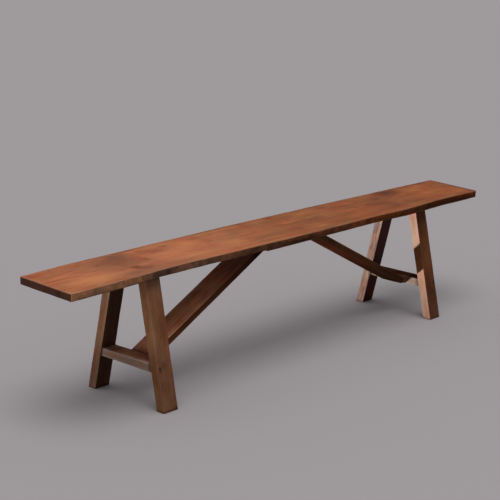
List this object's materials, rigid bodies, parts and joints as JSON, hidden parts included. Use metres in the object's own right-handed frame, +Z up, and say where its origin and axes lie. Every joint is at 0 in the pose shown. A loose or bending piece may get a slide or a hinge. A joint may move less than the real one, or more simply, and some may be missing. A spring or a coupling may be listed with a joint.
{
  "type": "kitchen bench",
  "caption": "Long narrow country bench of red-brown wood, on splayed trestle legs with flat stretchers and diagonal braces.",
  "frame": {"origin": "on the floor under the middle of the bench's bounding box", "axes": "+X along the seat to the right end, +Y across it to the back edge, +Z up"},
  "size_m": [2.1639, 0.3638, 0.45],
  "materials": {
    "seat_wood": "satin",
    "leg_wood": "satin",
    "rail_wood": "satin",
    "iron": "matte"
  },
  "bodies": {
    "root": {"seat_plank": "seat_wood", "front_left_leg": "leg_wood", "back_left_leg": "leg_wood", "front_right_leg": "leg_wood", "back_right_leg": "leg_wood", "left_stretcher": "rail_wood", "right_stretcher": "rail_wood", "left_brace": "rail_wood", "right_brace": "rail_wood", "brace_cleat": "rail_wood", "left_stretcher_front_nail": "iron", "left_stretcher_back_nail": "iron", "right_stretcher_front_nail": "iron", "right_stretcher_back_nail": "iron", "left_brace_front_nail": "iron", "left_brace_back_nail": "iron", "right_brace_front_nail": "iron", "right_brace_back_nail": "iron", "cleat_left_front_nail": "iron", "cleat_left_back_nail": "iron", "cleat_right_front_nail": "iron", "cleat_right_back_nail": "iron"}
  },
  "joints": []
}
